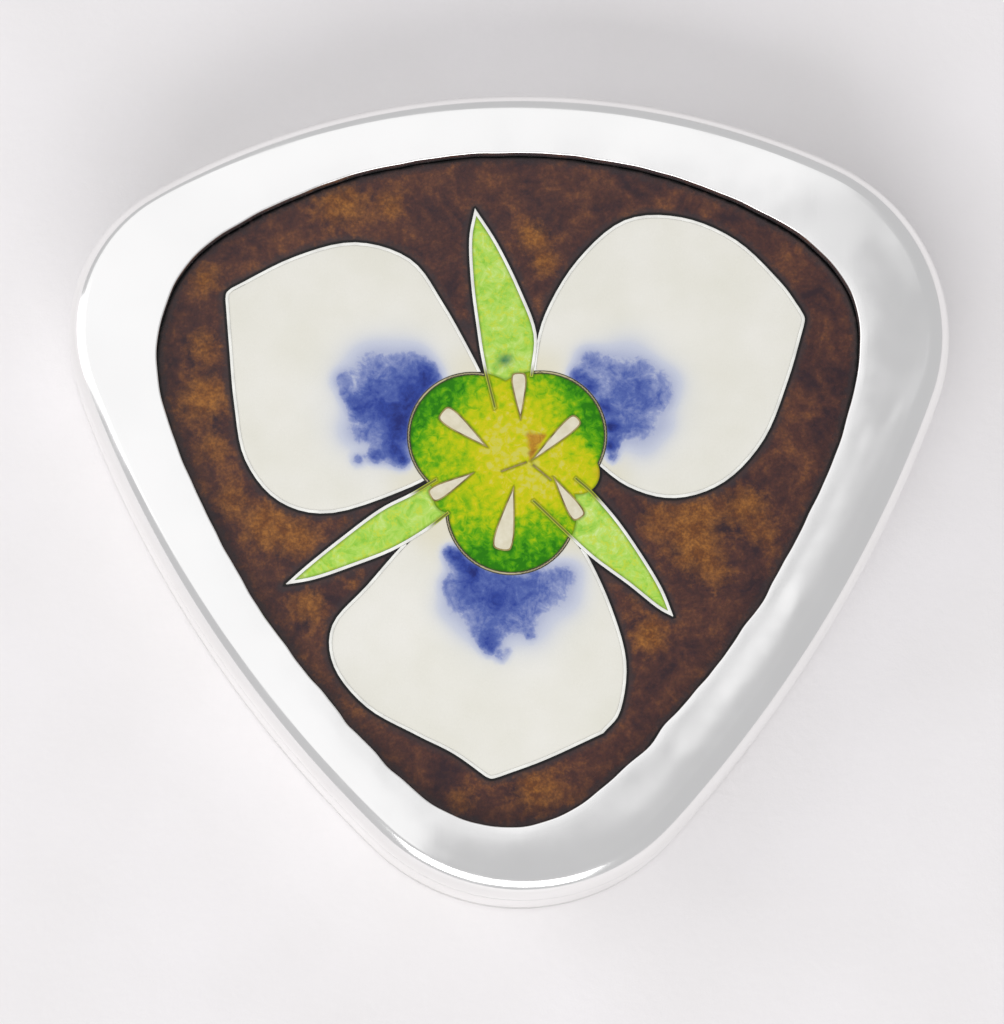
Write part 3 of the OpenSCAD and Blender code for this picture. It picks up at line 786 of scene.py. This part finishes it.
# Blue stains in the white petals
STAINS = {
    "petal_left_enamel": [[-4.5, 5.9, 0.8, 0.7], [-5.2, 5.1, 1.0, 0.7], [-5.9, 4.1, 1.0, 0.7],
                          [-6.0, 2.9, 0.9, 0.6], [-6.2, 2.0, 0.6, 0.8], [-7.1, 1.75, 0.4, 0.6],
                          [-5.7, 1.5, 0.4, 0.7], [-8.0, 4.5, 0.55, 0.8], [-7.2, 4.3, 0.7, 0.5],
                          [-7.3, 5.2, 0.6, 0.5], [-4.9, 6.9, 0.9, 0.2], [-6.2, 6.2, 1.1, 0.24],
                          [-8.8, 5.8, 0.6, 0.35], [-8.6, 5.0, 0.4, 0.35], [-8.0, 1.55, 0.35, 0.4],
                          [-7.5, 3.2, 0.9, 0.3], [-7.4, 6.6, 1.4, 0.25],
                          [-5.6, 7.6, 1.2, 0.06], [-8.4, 3.0, 1.0, 0.12], [-5.6, 3.6, 0.8, 0.5],
                          [-6.4, 4.4, 3.4, 0.2]],
    "petal_right_enamel": [[3.5, 6.1, 0.5, 0.6], [4.2, 5.5, 0.5, 0.7], [4.9, 4.5, 0.5, 0.8],
                           [5.2, 3.4, 0.5, 0.9], [5.2, 2.4, 0.4, 0.9], [5.3, 1.8, 0.3, 0.5],
                           [5.6, 4.6, 1.0, 0.3], [6.0, 5.3, 1.2, 0.24], [6.9, 4.9, 0.7, 0.32],
                           [7.5, 4.7, 0.45, 0.35], [6.7, 5.7, 0.35, 0.3],
                           [7.0, 6.3, 0.8, 0.25], [8.0, 4.9, 0.6, 0.25], [5.9, 3.3, 0.8, 0.28],
                           [7.0, 3.4, 1.0, 0.15], [8.0, 3.6, 0.8, 0.12], [5.0, 6.5, 1.0, 0.25],
                           [4.0, 7.0, 0.8, 0.3], [8.2, 5.8, 1.0, 0.2], [6.2, 7.2, 1.4, 0.15],
                           [7.0, 2.4, 1.0, 0.1], [6.2, 4.6, 3.0, 0.2]],
    "petal_lower_enamel": [[-2.8, -3.6, 0.6, 0.8], [-2.1, -4.3, 0.7, 0.8], [-3.3, -3.3, 0.3, 0.5],
                           [-1.0, -5.1, 1.4, 0.42], [0.6, -5.3, 1.3, 0.32], [1.7, -4.8, 0.9, 0.3],
                           [-2.2, -5.5, 0.9, 0.42], [-0.9, -6.7, 1.2, 0.42], [0.5, -6.6, 0.9, 0.22],
                           [-1.2, -7.8, 0.6, 0.6], [-1.1, -8.4, 0.35, 0.6], [1.0, -7.65, 0.24, 0.5],
                           [-0.5, -8.8, 0.3, 0.45], [-0.2, -8.5, 0.2, 0.35], [2.8, -4.4, 0.7, 0.22],
                           [-3.2, -5.0, 0.6, 0.3], [-3.3, -6.2, 0.9, 0.15], [2.8, -5.6, 1.2, 0.2],
                           [1.2, -7.4, 1.2, 0.1], [-2.4, -7.2, 1.0, 0.1], [3.4, -4.2, 0.9, 0.1],
                           [-0.2, -5.6, 3.2, 0.2]],
}

# Tone of the heart: 0 pale yellow, 0.35 lime, 1 deep green
HEART_TONES = [[-4.9, 3.6, 0.85], [-4.3, 4.8, 0.95], [-3.3, 5.6, 0.95], [-2.2, 5.8, 0.85], [-5.1, 2.4, 0.8],
               [-4.9, 1.2, 0.7], [-4.2, 1.6, 0.55], [-3.8, 2.6, 0.45], [-3.0, 4.9, 0.85], [-2.2, 4.9, 0.6],
               [-2.6, 3.2, 0.35], [-2.2, 2.0, 0.3], [-3.2, 1.2, 0.45], [-3.6, 0.4, 0.4], [-1.6, 4.2, 0.2],
               [-1.2, 5.6, 0.35], [-0.6, 4.6, 0.22], [0.9, 4.4, 0.2], [1.2, 6.0, 0.6], [1.6, 5.2, 0.4],
               [2.6, 5.8, 0.8], [2.4, 4.6, 0.4], [3.6, 5.1, 0.95], [3.2, 4.6, 0.7], [4.3, 4.2, 0.95],
               [4.6, 3.2, 0.95], [4.7, 2.2, 0.85], [4.0, 2.9, 0.65], [3.2, 2.3, 0.25], [4.0, 1.6, 0.2],
               [4.3, 0.6, 0.18], [2.6, 1.6, 0.15], [3.4, 1.0, 0.2], [0.0, 3.0, 0.12], [-1.0, 2.2, 0.02],
               [0.0, 1.8, 0.05], [1.0, 2.2, 0.05], [-0.6, 0.6, 0.15], [0.9, 0.4, 0.08], [1.6, 0.6, 0.05],
               [-1.6, -0.2, 0.3], [-2.4, -0.8, 0.4], [-3.0, -1.4, 0.5], [-2.6, -2.2, 0.55],
               [-2.2, -3.0, 0.8], [-1.4, -3.6, 1.0], [0.0, -4.2, 0.95], [-0.4, -3.6, 0.8],
               [1.1, -3.6, 0.95], [2.1, -2.9, 0.9],
               [1.8, -2.0, 0.65], [0.9, -1.8, 0.45], [0.7, -0.6, 0.25], [2.7, -1.6, 0.5], [2.4, -0.6, 0.2],
               [-1.2, -1.8, 0.38], [-1.3, -2.6, 0.7], [0.8, -2.7, 0.75], [3.2, -0.6, 0.25]]

# Corners of the copper-coloured fleck between the upper stamens, and a fainter round spot beside the heart
FLECK = [[0.82, 3.1], [1.85, 2.95], [1.0, 1.5]]
FAINT_SPOT = [[4.8, 0.9, 0.35, 1]]

# Teal grains that strayed into the sepals
SPOTS = [[-0.35, 6.9, 0.3, 0.9], [-0.1, 7.0, 0.2, 0.6], [-11.4, -4.8, 0.3, 0.7], [-0.8, 6.5, 0.2, 0.25]]


def window_edge(points, away):
    """Distance to the nearest edge that shows: the flower's outline, or the plate's sawn window."""
    shown = inside(points, [SAWN])
    rim = distance(points, [SAWN[::4]])
    return np.where(shown, np.minimum(away, rim), 0)


def from_heart(points):
    """Distance in plan from the middle of the heart."""
    return np.linalg.norm(points - HEART_MID, axis=1)


def warmth(points, away):
    """Enamel next to the heart takes a faint tint from it."""
    return smoothstep(-from_heart(points), -7.2, -5.2)


def root(points, away):
    """How far a sepal has turned yellow towards the heart."""
    return 1 - smoothstep(from_heart(points), 2.6, 4.6)


def sunk(points, away):
    """Where a sepal's wire runs on under the heart's enamel."""
    return 1 - smoothstep(from_heart(points), 4.8, 5.6)


def bare(points, away):
    """A wire that shows along its whole length."""
    return np.zeros(len(points))


def copper(points, away):
    """Full in the fleck, falling to nothing over a hair's breadth, and weaker in the faint spot."""
    corner = np.array(FLECK) + MIDDLE
    signed = np.where(inside(points, [corner]), 1, -1) * distance(points, [corner])
    return np.maximum(smoothstep(signed, -0.06, 0.06) * 0.95, 0.6 * blobs(FAINT_SPOT)(points, away))


def cells_of(prefix, suffix):
    return sorted(n for n in frame["nodes"] if n.startswith(prefix) and n.endswith(suffix))


cell("ground_enamel", GROUND, 0.4, [0.06, 0.14, 0.26], enamel_lift,
     {"edge": window_edge, "glow": blobs(GLOW)})
for node, spots in STAINS.items():
    cell(node, WHITE, 0.3, [0.08, 0.18], enamel_lift, {"stain": blobs(spots), "warmth": warmth})
for node in cells_of("sepal", "_enamel"):
    cell(node, GREEN, 0.25, [0.08, 0.16], enamel_lift, {"root": root, "spot": blobs(SPOTS)})
cell("heart_enamel", HEART, 0.22, [0.07, 0.14], enamel_lift,
     {"deep": painted(HEART_TONES, 0.75), "copper": copper})
for node in cells_of("stamen", "_enamel"):
    cell(node, IVORY, 0.2, [0.06], enamel_lift)
for node in cells_of("petal", "_wire"):
    cell(node, WIRE, 0, [0.045], lines_lift, {"root": bare})
for node in cells_of("sepal", "_wire"):
    cell(node, WIRE, 0, [0.045], lines_lift, {"root": sunk})
for node in cells_of("lobe", "_wire"):
    cell(node, LOBE_WIRE, 0, [0.03, 0.06], lines_lift, {"root": bare})
for node in cells_of("stamen", "_wire") + ["vein_wires"]:
    cell(node, FINE_WIRE, 0, [], fine_lift)


# ---- inner pieces, back and findings ----

for node, material, width in [
    ("seat_ring", SATIN, 0), ("back_plate", SATIN, 0.06), ("screw_posts", SATIN, 0),
    ("back_screws", FIXINGS, 0.04), ("backing_pad", CORK, 0), ("counter_enamel", COUNTER, 0),
    ("silver_base", FINE_SILVER, 0), ("hinge_base", SATIN, 0.06), ("hinge_rivet", FIXINGS, 0.06),
    ("pin_stem", PIN_STEEL, 0.03), ("catch_housing", SATIN, 0.06), ("catch_rotor", SATIN, 0.05),
]:
    softened(node, material, width)


# ---- floor, lights, camera ----

CENTRE = (np.array(CAD_BOX[0]) + np.array(CAD_BOX[1])) / 2
FLOOR_Z = CAD_BOX[0][2]


def floor():
    """A level sheet under the pin, half metres to each side, in n by n squares."""
    half, n = 1.2, 24
    line = np.linspace(-half, half, n + 1) / MM
    points = [(x, y, FLOOR_Z / MM) for y in line for x in line]
    faces = [(r * (n + 1) + c, r * (n + 1) + c + 1, (r + 1) * (n + 1) + c + 1, (r + 1) * (n + 1) + c)
             for r in range(n) for c in range(n)]
    mesh = new_mesh("floor", points, faces)
    piece = bpy.data.objects.new("floor", mesh)
    bpy.context.scene.collection.objects.link(piece)
    mesh.materials.append(floor_material())


floor()


def panel(name, where, size, glow):
    """A soft panel facing the pin, which adds brightness glow where it mirrors in the metal."""
    light = bpy.data.lights.new(name, "AREA")
    light.shape, light.size, light.size_y = "RECTANGLE", size[0], size[1]
    light.energy = glow * math.pi * size[0] * size[1]
    lamp = bpy.data.objects.new(name, light)
    bpy.context.scene.collection.objects.link(lamp)
    lamp.location = where
    lamp.rotation_euler = (Vector(where) - Vector(CENTRE)).to_track_quat("Z", "Y").to_euler()


panel("overhead", (-0.33, 0.2, 0.55), (1.0, 0.9), 0.42)
panel("left_wall", (-0.8, 0.1, 0.3), (0.5, 0.8), 0.9)
panel("front_fill", (-0.1, -0.8, 0.5), (1.0, 0.5), 3.3)
panel("glint", (0.1, 0.055, 0.62), (0.09, 0.06), 0.4)
panel("crescent", (0.19, 0.1, 0.62), (0.02, 0.09), 0.2)
panel("far_crescent", (0.16, 0.2, 0.6), (0.05, 0.03), 0.3)

world = bpy.data.worlds.new("studio")
bpy.context.scene.world = world
world.use_nodes = True
world.node_tree.nodes["Background"].inputs["Color"].default_value = (0.98, 0.98, 1.0, 1)
world.node_tree.nodes["Background"].inputs["Strength"].default_value = 0.57
bpy.context.scene.view_settings.view_transform = "Standard"

AZIMUTH, ELEVATION, FAR = -12.0, 80.0, 0.298
az, el = math.radians(AZIMUTH), math.radians(ELEVATION)
back = Vector((math.sin(az) * math.cos(el), -math.cos(az) * math.cos(el), math.sin(el)))
aim = Vector((CENTRE[0] - 0.44 * MM, CENTRE[1] - 1.02 * MM, CAD_BOX[1][2] - 1.5 * MM))
lens = bpy.data.cameras.new("camera")
lens.lens, lens.sensor_width = 200, 36
lens.clip_start, lens.clip_end = 0.01, 10
camera = bpy.data.objects.new("camera", lens)
bpy.context.scene.collection.objects.link(camera)
up = (Vector((0, 1, 0)) - back * back.y).normalized()
turn = Matrix((up.cross(back), up, back)).transposed().to_4x4()
camera.matrix_world = Matrix.Translation(aim + back * FAR) @ turn
bpy.context.scene.camera = camera
